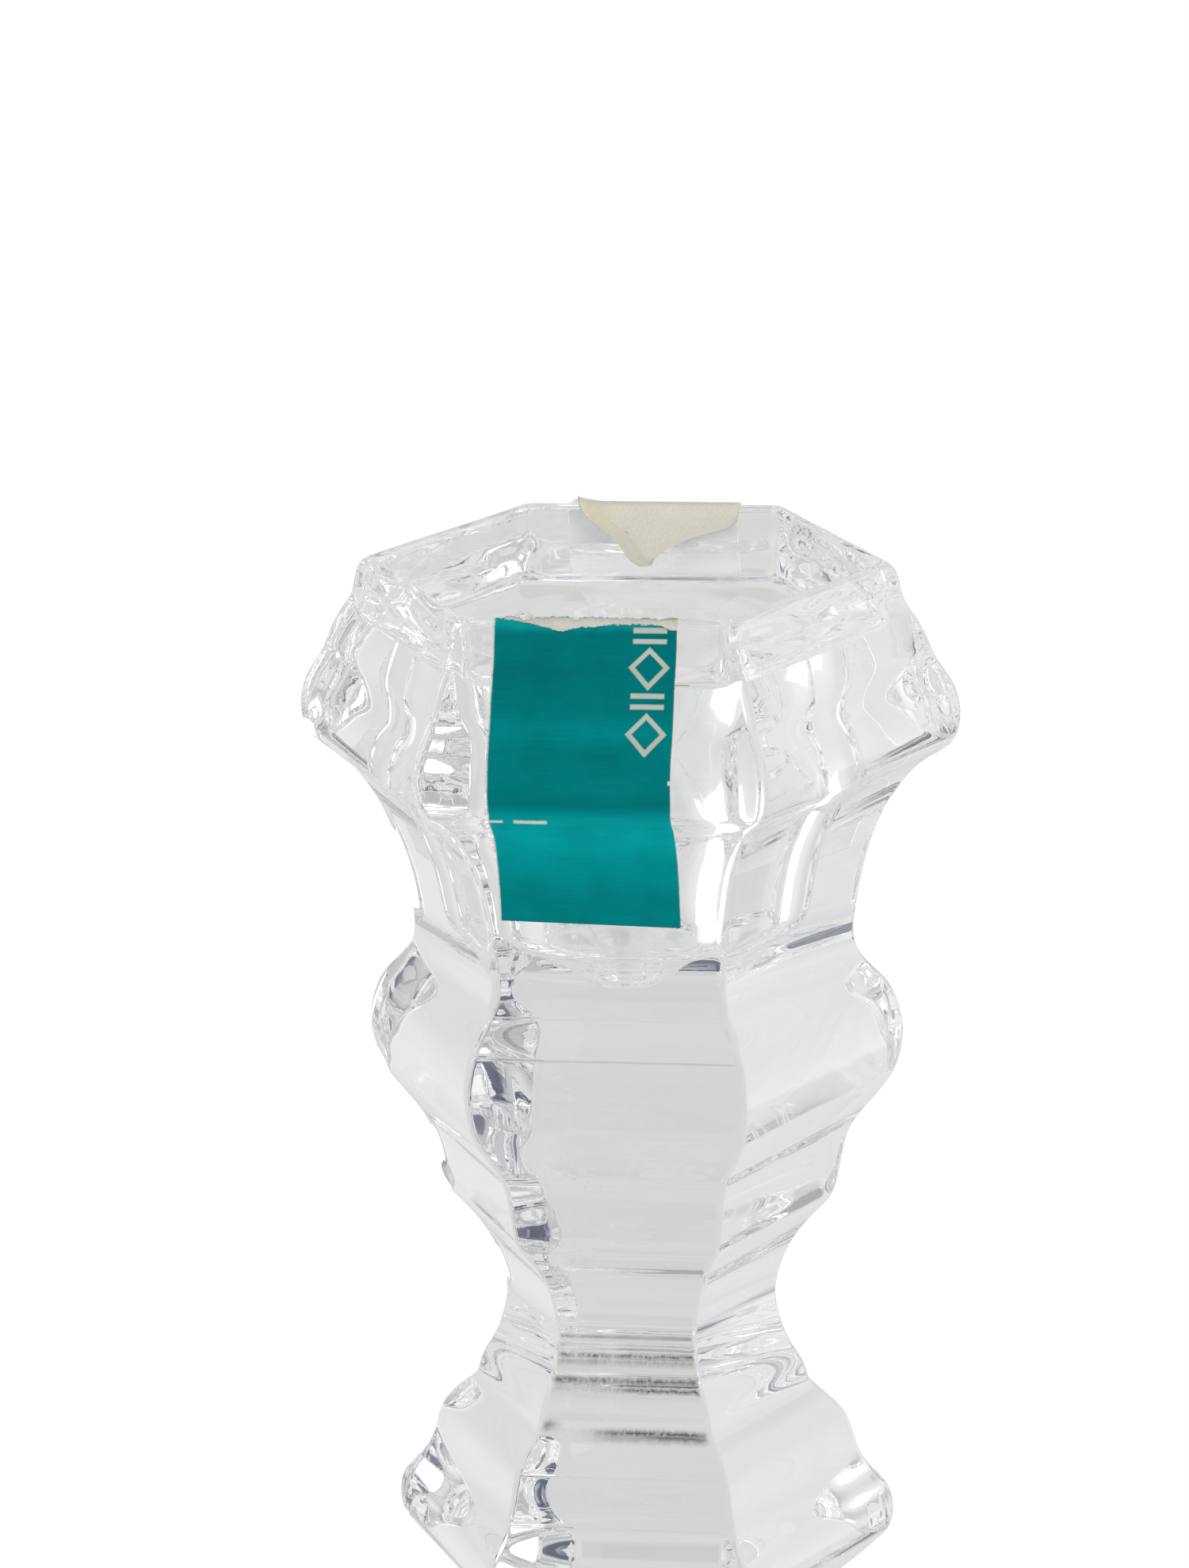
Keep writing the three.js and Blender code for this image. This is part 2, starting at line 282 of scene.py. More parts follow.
# ------------------------------------------------------------------ labels
# Path of the middle of a facet: distance from the axis, height, outward normal. It runs up the outside and down the recess.
face_path = np.column_stack([path[:, 0] * FLAT, path[:, 2]])
i_up = int(np.argmax(path[:, 2]))                       # the crest of the rim
start = int(np.argmax((path[:, 2] > 38.0) & (np.arange(len(path)) > 900)))
stop = i_up + int(np.argmax(path[i_up:, 2] < 63.9))
face_path = face_path[start:stop]
crest = i_up - start
tang = np.gradient(face_path, axis=0)
tang /= np.linalg.norm(tang, axis=1, keepdims=True)
norm = np.column_stack([tang[:, 1], -tang[:, 0]])       # away from the glass
face_s = np.concatenate([[0], np.cumsum(np.hypot(*np.diff(face_path, axis=0).T))])
s_crest = face_s[crest]


def s_of_z(z):
    """Length along the path at a height on the outside."""
    return float(np.interp(z, face_path[:crest + 1, 1], face_s[:crest + 1]))


def s_inside(z):
    """Length along the path at a height inside the rim."""
    return float(np.interp(-z, -face_path[crest:, 1], face_s[crest:]))


def on_face(s, gap):
    """(distance, height) at a length along the path, a gap off the glass."""
    d = np.interp(s, face_s, face_path[:, 0]) + gap * np.interp(s, face_s, norm[:, 0])
    z = np.interp(s, face_s, face_path[:, 1]) + gap * np.interp(s, face_s, norm[:, 1])
    return d, z


def noise1(x, seed, octaves=4):
    """Repeatable rough line, about -1 to 1."""
    v = 0.0
    rng = np.random.RandomState(seed)
    for o in range(octaves):
        table = rng.uniform(-1, 1, 512)
        q = (x * 2 ** o) % 511
        i = np.floor(q).astype(int)
        f = q - i
        f = f * f * (3 - 2 * f)
        v = v + (table[i] * (1 - f) + table[(i + 1) % 512] * f) / 1.7 ** o
    return v / 1.6


def sheet_mesh(name, grid_x, grid_s, sign, gap, thick, lift=None, uv=None):
    """Closed thin sheet over a facet. grid_x and grid_s are arrays of rows along the strip by columns across it.
    gap is the clearance from the glass and lift an extra distance off it; sign is -1 for the front facet, +1 for the back one."""
    lift = 0 if lift is None else lift
    near_d, near_z = on_face(grid_s, gap + lift)
    far_d, far_z = on_face(grid_s, gap + lift + thick)
    nr, nc = grid_x.shape
    verts = []
    for d, z in ((near_d, near_z), (far_d, far_z)):
        verts += [tuple(v) for v in np.stack([grid_x, sign * d, z], -1).reshape(-1, 3)]
    faces, kinds = [], []
    n = nr * nc
    for i in range(nr - 1):
        for j in range(nc - 1):
            q = (i * nc + j, i * nc + j + 1, (i + 1) * nc + j + 1, (i + 1) * nc + j)
            a = tuple(k + n for k in q)
            # the front facet faces -Y, so columns running along +X with rows going up give a far side that faces out
            faces += [q[::-1], a] if sign < 0 else [q, a[::-1]]
            kinds += [1, 0]
    edge = [i * nc for i in range(nr)], [i * nc + nc - 1 for i in range(nr)], list(range(nc)), list(range(n - nc, n))
    for which, line in enumerate(edge):
        for p, q in zip(line[:-1], line[1:]):
            f = (p, q, q + n, p + n)
            if which in (1, 2):
                f = f[::-1]
            faces.append(f if sign > 0 else f[::-1])
            kinds.append(1)
    ob = make_object(name, verts, faces)
    ob.data.polygons.foreach_set("material_index", kinds)
    if uv is not None:
        layer = ob.data.uv_layers.new(name="sheet")
        both = np.concatenate([uv.reshape(-1, 2)] * 2)
        idx = np.zeros(len(ob.data.loops), int)
        ob.data.loops.foreach_get("vertex_index", idx)
        layer.data.foreach_set("uv", both[idx].astype(np.float32).ravel())
    ob.data.shade_smooth()
    return ob


def strip_x(z):
    """Middle of the front strip at a height: it leans by about one degree."""
    return -1.235 + 0.020 * (z - 42.0)


HALF = 7.90
COLS = 176
LABEL_UV_Z0, LABEL_UV_DZ = 40.0, 30.0

# the torn upper edge of the printed face, as height over position across
TEAR = np.array([(-9.2, 69.46), (-8.3, 69.45), (-7.6, 69.36), (-6.8, 69.25), (-6.0, 69.22), (-5.3, 69.05), (-4.7, 68.94),
                 (-3.9, 68.80), (-3.3, 68.62), (-2.7, 68.55), (-2.2, 68.62), (-1.6, 68.80), (-1.1, 68.88), (-0.2, 68.92),
                 (0.8, 69.00), (2.2, 69.04), (3.6, 69.12), (5.2, 69.12), (5.9, 68.96), (6.6, 68.80), (7.4, 68.62)])

across = np.linspace(-HALF, HALF, COLS)
edge_wobble = 0.03 * noise1(np.linspace(0, 30, 400), 5)


def front_sheet(name, top_s, gap, thick, rows_n, inset=0.0, seed=1):
    """One layer of the front half. top_s gives the length along the path at which each column ends."""
    t = np.linspace(0, 1, rows_n)[:, None]
    x_flat = across * (1 - inset / HALF)
    bottom = np.array([s_of_z(41.54 - 0.21 * x / HALF) for x in x_flat])[None, :] + inset
    s_grid = bottom + (top_s[None, :] - bottom) * t
    z_grid = np.interp(s_grid, face_s, face_path[:, 1])
    wob = np.interp(s_grid, np.linspace(0, face_s[-1], 400), edge_wobble)
    x_grid = strip_x(z_grid) + x_flat[None, :] + wob * np.sign(x_flat)[None, :] * (np.abs(x_flat)[None, :] / HALF) ** 8
    # the paper follows the glass closely, standing off a little in the hollow under the flange
    lift = 0.05 * np.exp(-((z_grid - 51.2) / 1.1) ** 2) + 0.012 * np.sin(1.7 * x_grid + 0.9 * z_grid)
    lift = np.maximum(lift, 0)
    uv = np.stack([(x_flat[None, :] + 0 * s_grid + 10) / 20, (z_grid - LABEL_UV_Z0) / LABEL_UV_DZ], -1)
    return sheet_mesh(name, x_grid, s_grid, -1, gap, thick, lift, uv)


x_at_top = strip_x(69.0) + across
tear_z = np.interp(x_at_top, TEAR[:, 0], TEAR[:, 1]) + 0.075 * noise1(across * 3.1 + 40, 11, 5) + 0.085 * noise1(across * 9.0 + 70, 12, 4)
tear_s = np.array([s_of_z(z) for z in np.minimum(tear_z, 69.56)])
core_s = s_crest - 0.12 + 0.34 * noise1(across * 1.1 + 60, 21) + 0.20 * noise1(across * 6.0 + 10, 22)
core_s = np.maximum(core_s, tear_s + 0.10)

label_core = front_sheet("front_label_paper", core_s, 0.030, 0.055, 150, inset=0.03)
label_print = front_sheet("front_label_print", tear_s, 0.105, 0.045, 220)

# back half: up the back facet, over the rim and down the inside as a torn, pointed tongue
BACK_LEFT = np.array([(63.4, -0.62), (63.8, -0.75), (64.3, -1.75), (64.7, -2.15), (65.5, -2.65), (66.3, -3.25), (67.0, -4.0),
                      (67.6, -4.70), (68.4, -5.65), (69.0, -6.35), (69.6, -6.95)])
BACK_RIGHT = np.array([(63.4, -0.45), (63.8, -0.25), (64.4, 0.15), (65.0, 0.62), (65.6, 1.55), (66.1, 2.55), (66.5, 3.35),
                       (66.9, 4.9), (67.5, 6.9), (68.1, 7.80), (69.0, 8.12), (69.6, 8.20)])
NR_OUT, NR_IN, NC = 120, 90, 72
s_out = np.linspace(s_of_z(43.0), s_crest, NR_OUT, endpoint=False)
s_in = np.linspace(s_crest, s_inside(63.95), NR_IN)
s_rows = np.concatenate([s_out, s_in])
z_rows = np.interp(s_rows, face_s, face_path[:, 1])
left = np.where(s_rows < s_crest, -8.04, np.interp(z_rows, BACK_LEFT[:, 0], BACK_LEFT[:, 1]))
right = np.where(s_rows < s_crest, 7.73, np.interp(z_rows, BACK_RIGHT[:, 0], BACK_RIGHT[:, 1]))
soft = np.clip((s_rows - (s_crest - 1.2)) / 1.2, 0, 1)
left = np.where(s_rows < s_crest, -8.04 + 1.09 * soft ** 2, left)
right = np.where(s_rows < s_crest, 7.73 + 0.47 * soft ** 2, right)
inside_amount = np.clip((s_rows - s_crest) / 0.6, 0, 1)
left = left + inside_amount * 0.07 * noise1(s_rows * 3.0 + 80, 31)
right = right + inside_amount * 0.10 * noise1(s_rows * 2.6 + 90, 32)
u = np.linspace(0, 1, NC)[None, :]
bx = left[:, None] + (right - left)[:, None] * u
bs = np.repeat(s_rows[:, None], NC, 1)
from_left = bx - left[:, None]
# the left edge of the tongue has come unstuck and curls away from the wall, most at the rim
curl = np.clip(1 - from_left / 1.5, 0, 1) ** 2 * inside_amount[:, None] * 0.65
near_rim = np.exp(-((bs - s_crest - 0.3) / 1.1) ** 2)
corner = np.clip(1 - from_left / 2.6, 0, 1) ** 1.5 * near_rim * 0.40
puff = 0.10 * np.exp(-((bs - s_crest) / 1.4) ** 2) + 0.10 * inside_amount[:, None] * (0.5 + 0.5 * np.sin(0.9 * bx + 1.3 * bs))
buv = np.stack([(bx + 10) / 20, (bs - face_s[0]) / 50.0], -1)
fold_w = 1.75 - 0.10 * (bs - s_crest)
fold = 0.16 * np.clip((fold_w - from_left) / 0.30, 0, 1) * inside_amount[:, None]
back_label = sheet_mesh("back_label_paper", bx, bs, 1, 0.05, 0.11, curl + corner + puff + fold, buv)

edge_uv = back_label.data.uv_layers.new(name="edge")
edge_xy = np.concatenate([np.stack([from_left / 10, inside_amount[:, None] + 0 * bx], -1).reshape(-1, 2)] * 2)
loop_v = np.zeros(len(back_label.data.loops), int)
back_label.data.loops.foreach_get("vertex_index", loop_v)
edge_uv.data.foreach_set("uv", edge_xy[loop_v].astype(np.float32).ravel())

for ob, node in ((glass, "glass_body"), (label_core, "front_label"), (label_print, "front_label"), (back_label, "back_label")):
    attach(ob, ROOT)
    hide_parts(node)


# ------------------------------------------------------------------ materials
class Nodes:
    """Small helper to wire shader nodes."""

    def __init__(self, name):
        self.m = bpy.data.materials.new(name)
        self.m.use_nodes = True
        self.t = self.m.node_tree
        self.t.nodes.clear()
        self.out = self.t.nodes.new("ShaderNodeOutputMaterial")

    def n(self, kind, **props):
        node = self.t.nodes.new(kind)
        for k, v in props.items():
            setattr(node, k, v)
        return node

    def link(self, a, b):
        self.t.links.new(a, b)

    def put(self, sock, v):
        if isinstance(v, bpy.types.NodeSocket):
            self.link(v, sock)
        else:
            sock.default_value = v

    def math(self, op, a, b=None, c=None, clamp=False):
        node = self.n("ShaderNodeMath", operation=op, use_clamp=clamp)
        self.put(node.inputs[0], a)
        if b is not None:
            self.put(node.inputs[1], b)
        if c is not None:
            self.put(node.inputs[2], c)
        return node.outputs[0]

    def mapr(self, v, a, b, c, d, smooth=False):
        node = self.n("ShaderNodeMapRange", interpolation_type="SMOOTHSTEP" if smooth else "LINEAR")
        self.put(node.inputs[0], v)
        for i, x in zip((1, 2, 3, 4), (a, b, c, d)):
            self.put(node.inputs[i], x)
        return node.outputs[0]

    def noise(self, vec, scale, detail=2.0, rough=0.5, dist=0.0):
        node = self.n("ShaderNodeTexNoise")
        self.put(node.inputs["Vector"], vec)
        node.inputs["Scale"].default_value = scale
        node.inputs["Detail"].default_value = detail
        node.inputs["Roughness"].default_value = rough
        node.inputs["Distortion"].default_value = dist
        return node.outputs["Fac"]

    def mapping(self, vec, scale=(1, 1, 1), loc=(0, 0, 0), rot=(0, 0, 0)):
        node = self.n("ShaderNodeMapping")
        self.put(node.inputs["Vector"], vec)
        node.inputs["Scale"].default_value = scale
        node.inputs["Location"].default_value = loc
        node.inputs["Rotation"].default_value = rot
        return node.outputs[0]

    def mix(self, fac, a, b):
        node = self.n("ShaderNodeMix", data_type="RGBA")
        self.put(node.inputs[0], fac)
        self.put(node.inputs[6], a)
        self.put(node.inputs[7], b)
        return node.outputs[2]

    def bump(self, height, strength, distance, normal=None):
        node = self.n("ShaderNodeBump")
        node.inputs["Strength"].default_value = strength
        node.inputs["Distance"].default_value = distance
        self.link(height, node.inputs["Height"])
        if normal is not None:
            self.link(normal, node.inputs["Normal"])
        return node.outputs[0]

    def principled(self, **sockets):
        node = self.n("ShaderNodeBsdfPrincipled")
        for k, v in sockets.items():
            self.put(node.inputs[k.replace("_", " ")], v)
        self.link(node.outputs[0], self.out.inputs["Surface"])
        return node

    def coords(self, which="Object"):
        return self.n("ShaderNodeTexCoord").outputs[which]


def rgb(r, g, b):
    """Display colour 0-255 to linear."""
    f = lambda c: c / 12.92 if c <= 0.04045 else ((c + 0.055) / 1.055) ** 2.4
    return (f(r / 255), f(g / 255), f(b / 255), 1.0)


def glass_material():
    k = Nodes("pressed_clear_glass")
    obj = k.coords()
    broad = k.noise(k.mapping(obj, (1, 1, 1.4)), 120, 2.0, 0.45)       # chill waves, about 8 mm
    fine = k.noise(k.mapping(obj, (1, 1, 2.2)), 700, 2.0, 0.5)         # fire-polish ripple, about 1.5 mm
    smear = k.noise(obj, 60, 3.0, 0.6, 0.5)
    rough = k.mapr(smear, 0.50, 0.78, 0.0, 0.012)
    bump = k.bump(fine, 0.006, 0.0004, k.bump(broad, 0.012, 0.003))
    # chill lines and pits that the mould left on the front facet, as (height above the waist, half width, depth) in mm
    sep = k.n("ShaderNodeSeparateXYZ")
    k.link(obj, sep.inputs[0])
    shade = k.noise(k.mapping(obj, (1, 1, 0.2)), 420, 3.0, 0.6)
    height_mm = k.math("MULTIPLY_ADD", sep.outputs[2], 1000.0, -WAIST)
    calm = k.math("ADD", height_mm, k.math("MULTIPLY_ADD", shade, 0.16, -0.08))
    ragged = k.math("ADD", height_mm, k.math("MULTIPLY_ADD", k.noise(k.mapping(obj, (1, 1, 0.3)), 1500, 4.0, 0.7), 0.50, -0.25))
    streaks = k.noise(k.mapping(obj, (1, 1, 0.10)), 3800, 2.0, 0.6)
    across_mm = k.math("MULTIPLY", sep.outputs[0], 1000.0)
    marks = dark_lines = warm = None

    def pulse(path_of, at, half, deep):
        return k.mapr(k.math("ABSOLUTE", k.math("SUBTRACT", path_of, at)), 0.0, half, deep, 0.0, True)

    for at, half, deep, path_of in (
        (32.62, 0.14, 0.25, calm), (29.53, 0.18, 0.75, calm), (16.60, 0.14, 0.25, calm), (9.15, 0.14, 0.25, calm),
        (6.73, 0.14, 0.35, calm), (1.03, 0.16, 0.30, calm), (-0.34, 0.30, 0.7, calm), (-2.05, 0.26, 0.8, ragged),
        (-4.20, 0.30, 1.0, ragged), (-4.95, 0.30, 1.0, ragged), (-8.62, 0.32, 1.2, ragged), (-11.75, 0.16, 0.5, calm), (-16.15, 0.16, 0.5, calm),
    ):
        p = pulse(path_of, at, half, deep)
        marks = p if marks is None else k.math("ADD", marks, p)
    hair = k.mapr(streaks, 0.34, 0.56, 0.50, 1.0)                      # vertical streaks in the ragged bands
    to_right = k.mapr(across_mm, -6.0, 0.0, 0.05, 1.0, True)
    # darker lines painted into the glass colour along these bands, only on the front facet
    for at, half, dark, path_of, by in (
        (29.53, 0.13, 0.42, calm, None), (32.62, 0.06, 0.08, calm, None), (16.60, 0.06, 0.12, calm, None), (6.73, 0.07, 0.12, calm, None),
        (1.03, 0.10, 0.14, calm, None), (-0.34, 0.36, 0.72, calm, None), (-2.05, 0.44, 0.98, ragged, hair), (-4.20, 0.58, 0.95, ragged, hair),
        (-4.98, 0.38, 1.0, ragged, k.math("MULTIPLY", hair, k.mapr(across_mm, -3.4, 1.2, 0.15, 1.0, True))),
        (-8.55, 0.55, 1.0, ragged, k.math("MULTIPLY", k.mapr(streaks, 0.30, 0.50, 0.6, 1.0), to_right)),
        (-8.82, 0.34, 0.95, ragged, k.mapr(across_mm, -1.0, 3.5, 0.0, 1.0, True)),
        (-8.05, 0.80, 0.85, ragged, k.mapr(across_mm, -5.2, -7.0, 0.0, 1.0, True)),
        (-11.75, 0.07, 0.12, calm, None), (-16.15, 0.07, 0.12, calm, None),
    ):
        p = pulse(path_of, at, half, dark)
        if by is not None:
            p = k.math("MULTIPLY", p, by)
        dark_lines = p if dark_lines is None else k.math("MAXIMUM", dark_lines, p)
    # brownish tint painted into the glass colour along some of the bands
    for at, half, dark in ((-2.60, 0.60, 0.80), (-4.60, 0.90, 0.60), (-9.02, 0.45, 0.70), (-1.15, 0.40, 0.25)):
        p = k.math("MULTIPLY", pulse(ragged, at, half, dark), to_right if at < -9 else k.mapr(streaks, 0.34, 0.60, 0.6, 1.0))
        warm = p if warm is None else k.math("MAXIMUM", warm, p)
    flat_xz = k.n("ShaderNodeVectorMath", operation="MULTIPLY")
    k.link(obj, flat_xz.inputs[0])
    flat_xz.inputs[1].default_value = (1000, 0, 1000)
    for px, pz, pr, deep in ((-2.6, 18.5, 0.50, 1.6), (-3.7, 20.8, 0.30, 1.2), (-1.0, 16.4, 0.40, 1.4), (-3.2, 17.4, 0.38, -1.4), (-2.0, 21.0, 0.26, 1.2),
                             (-4.0, 18.0, 0.34, 1.2), (-1.5, 18.9, 0.30, -1.2), (-2.7, 16.5, 0.36, 1.2), (-3.3, 19.2, 0.28, 1.0), (-2.1, 17.3, 0.34, 1.3)):
        far = k.n("ShaderNodeVectorMath", operation="DISTANCE")
        k.link(flat_xz.outputs[0], far.inputs[0])
        far.inputs[1].default_value = (px, 0, pz + WAIST)
        marks = k.math("ADD", marks, k.mapr(far.outputs["Value"], 0.0, pr, deep, 0.0, True))
    front = k.mapr(k.math("DIVIDE", k.math("ABSOLUTE", sep.outputs[0]), k.math("MAXIMUM", k.math("MULTIPLY", sep.outputs[1], -1.0), 0.0005)), 0.53, 0.575, 1.0, 0.0, True)
    front = k.math("MULTIPLY", front, k.math("LESS_THAN", sep.outputs[1], 0.0))
    bump = k.bump(k.math("MULTIPLY", marks, front), 1.0, 0.00007, bump)
    patchy = k.mapr(k.noise(k.mapping(obj, (1, 1, 0.4)), 260, 3.0, 0.6), 0.34, 0.54, 0.62, 1.0)
    # how far the glass colour darkens along these lines, front facet only
    dark_tint = k.math("MULTIPLY", k.math("MULTIPLY", dark_lines, front), patchy)
    brownish = k.mix(k.math("MULTIPLY", k.math("MULTIPLY", warm, front), patchy), (0.985, 0.990, 0.990, 1), (0.22, 0.19, 0.16, 1))
    p = k.principled(Base_Color=k.mix(dark_tint, brownish, (0.018, 0.020, 0.026, 1)), Roughness=rough, Normal=bump)
    p.inputs["IOR"].default_value = 1.52
    p.inputs["Transmission Weight"].default_value = 1.0
    # lamps reach the paper through the glass
    clear = k.n("ShaderNodeBsdfTransparent")
    clear.inputs["Color"].default_value = (0.96, 0.965, 0.965, 1)
    path_kind = k.n("ShaderNodeLightPath")
    both = k.n("ShaderNodeMixShader")
    k.link(path_kind.outputs["Is Shadow Ray"], both.inputs[0])
    k.link(p.outputs[0], both.inputs[1])
    k.link(clear.outputs[0], both.inputs[2])
    k.link(both.outputs[0], k.out.inputs["Surface"])
    return k.m


def fibre_layers(k, uv):
    """Paper fibre height: fine short strands in two directions with a little mottling."""
    a = k.noise(k.mapping(uv, (160, 40, 1)), 3.0, 3.0, 0.6)
    b = k.noise(k.mapping(uv, (50, 170, 1), rot=(0, 0, 0.5)), 3.0, 3.0, 0.6, 0.6)
    return k.math("MULTIPLY", k.math("ADD", a, b), 0.5)


def teal_print():
    k = Nodes("teal_printed_paper")
    uv = k.n("ShaderNodeUVMap", uv_map="sheet").outputs[0]
    sep = k.n("ShaderNodeSeparateXYZ")
    k.link(uv, sep.inputs[0])
    x = k.math("MULTIPLY_ADD", sep.outputs[0], 20.0, -10.0)            # mm across, from the middle of the strip
    z = k.math("MULTIPLY_ADD", sep.outputs[1], LABEL_UV_DZ, LABEL_UV_Z0)  # mm above the waist

    def near(v, at, half, edge=0.05):
        """1 within half of a value, with a soft edge."""
        d = k.math("ABSOLUTE", k.math("SUBTRACT", v, at))
        return k.mapr(d, half - edge, half + edge, 1.0, 0.0, True)

    def both(a, b):
        return k.math("MULTIPLY", a, b)

    def either(a, b):
        return k.math("MAXIMUM", a, b)

    jitter = k.math("MULTIPLY_ADD", k.noise(k.mapping(uv, (90, 140, 1)), 3.0, 2.0, 0.5), 0.16, -0.08)
    xj, zj = k.math("ADD", x, jitter), k.math("ADD", z, jitter)

    # column of plain off-white ornaments: open lozenges between pairs of short bars
    marks = None
    for at in (60.45, 65.65):
        d = k.math("ADD", k.math("MULTIPLY", k.math("ABSOLUTE", k.math("SUBTRACT", xj, 5.60)), 1 / 1.50),
                   k.math("MULTIPLY", k.math("ABSOLUTE", k.math("SUBTRACT", zj, at)), 1 / 1.45))
        line = near(d, 1.0, 0.19, 0.05)
        marks = line if marks is None else either(marks, line)
    for at in (62.65, 63.50, 67.85, 68.70):
        marks = either(marks, both(near(xj, 5.60, 1.45), near(zj, at, 0.20)))

    # print worn off along the crease, one nick at the edge
    wear_line = k.math("ADD", z, k.math("MULTIPLY", k.noise(k.mapping(uv, (60, 20, 1)), 2.0, 2.0, 0.5), 0.14))
    worn = both(near(x, -7.35, 0.72, 0.10), near(wear_line, 52.98, 0.13, 0.06))
    worn = either(worn, both(near(x, -4.25, 1.42, 0.12), near(wear_line, 52.96, 0.19, 0.07)))
    worn = either(worn, both(near(x, -8.05, 0.28, 0.10), near(z, 53.35, 0.35, 0.15)))
    worn = either(worn, both(near(x, 7.85, 0.17, 0.07), near(z, 56.70, 0.17, 0.07)))
    spots = k.noise(k.mapping(uv, (200, 300, 1)), 1.6, 1.0, 0.4)
    specks = k.mapr(spots, 0.792, 0.815, 0.0, 0.7)
    edge_wear = both(k.mapr(k.math("ABSOLUTE", x), 7.78, 7.90, 0.0, 1.0),
                     k.mapr(k.noise(k.mapping(uv, (40, 160, 1)), 3.0, 3.0, 0.6), 0.50, 0.62, 0.0, 0.8))
    edge_wear = either(edge_wear, both(k.mapr(x, -7.74, -7.84, 0.0, 0.85), k.mapr(k.noise(k.mapping(uv, (10, 90, 1)), 2.0, 3.0, 0.6), 0.34, 0.46, 0.3, 1.0)))
    rubbed = either(worn, either(specks, edge_wear))
    bare = k.math("MAXIMUM", marks, rubbed, clamp=True)

    # ink: slow cloudy variation, faint lines across from the press, fine grain
    cloud = k.noise(k.mapping(uv, (5, 9, 1)), 1.0, 3.0, 0.55)
    lines = k.noise(k.mapping(uv, (4, 260, 1)), 1.0, 2.0, 0.5)
    grain = k.noise(k.mapping(uv, (420, 560, 1)), 1.0, 2.0, 0.6)
    tone = k.math("ADD", k.math("MULTIPLY", cloud, 0.22), k.math("ADD", k.math("MULTIPLY", lines, 0.16), k.math("MULTIPLY", grain, 0.62)))
    ink = k.mix(k.mapr(tone, 0.38, 0.62, 0.0, 1.0), rgb(0, 87, 88), rgb(0, 111, 113))
    # painted light and shade down the strip: painted light where the paper bulges under the crease, painted shade above
    # it, one faint band of painted light higher up, and painted shade deepening towards the top
    zt = k.math("ADD", z, k.math("MULTIPLY_ADD", cloud, 0.8, -0.4))
    under = k.math("MULTIPLY_ADD", k.math("POWER", k.mapr(zt, 43.6, 51.7, 0.0, 1.0), 1.25), 1.00, 1.02)
    upper = k.mapr(zt, 54.6, 56.6, 0.81, 0.955, True)
    upper = k.math("ADD", upper, k.mapr(k.math("ABSOLUTE", k.math("SUBTRACT", zt, 60.5)), 0.0, 2.0, 0.235, 0.0, True))
    upper = k.math("SUBTRACT", upper, k.mapr(zt, 62.0, 67.5, 0.0, 0.08))
    fall = k.mapr(zt, 52.2, 54.9, 1.0, 0.0, True)
    painted_light_and_shade = k.math("ADD", upper, k.math("MULTIPLY", fall, k.math("SUBTRACT", under, upper)))
    # the ink colour is scaled by this painted light and shade
    scaled = k.n("ShaderNodeVectorMath", operation="SCALE")
    k.link(ink, scaled.inputs[0])
    k.link(painted_light_and_shade, scaled.inputs["Scale"])
    ink = scaled.outputs[0]
    # thin, lighter ink where it was pulled at the tear
    thin = k.mapr(k.math("ADD", z, k.math("MULTIPLY", cloud, 0.8)), 68.7, 69.7, 0.0, 0.8, True)
    ink = k.mix(thin, ink, rgb(8, 142, 143))
    paper = k.mix(grain, rgb(175, 173, 164), rgb(191, 189, 181))
    colour = k.mix(marks, ink, k.mix(grain, rgb(146, 152, 139), rgb(164, 170, 158)))
    colour = k.mix(rubbed, colour, paper)
    height = k.math("SUBTRACT", k.math("ADD", k.math("MULTIPLY", grain, 0.5), k.math("MULTIPLY", lines, 0.5)), k.math("MULTIPLY", bare, 0.6))
    k.principled(Base_Color=colour, Roughness=k.mapr(k.math("ADD", bare, k.math("MULTIPLY", grain, 0.4)), 0.0, 1.4, 0.60, 0.85),
                 Normal=k.bump(height, 0.25, 0.00012), Specular_IOR_Level=0.02)
    return k.m


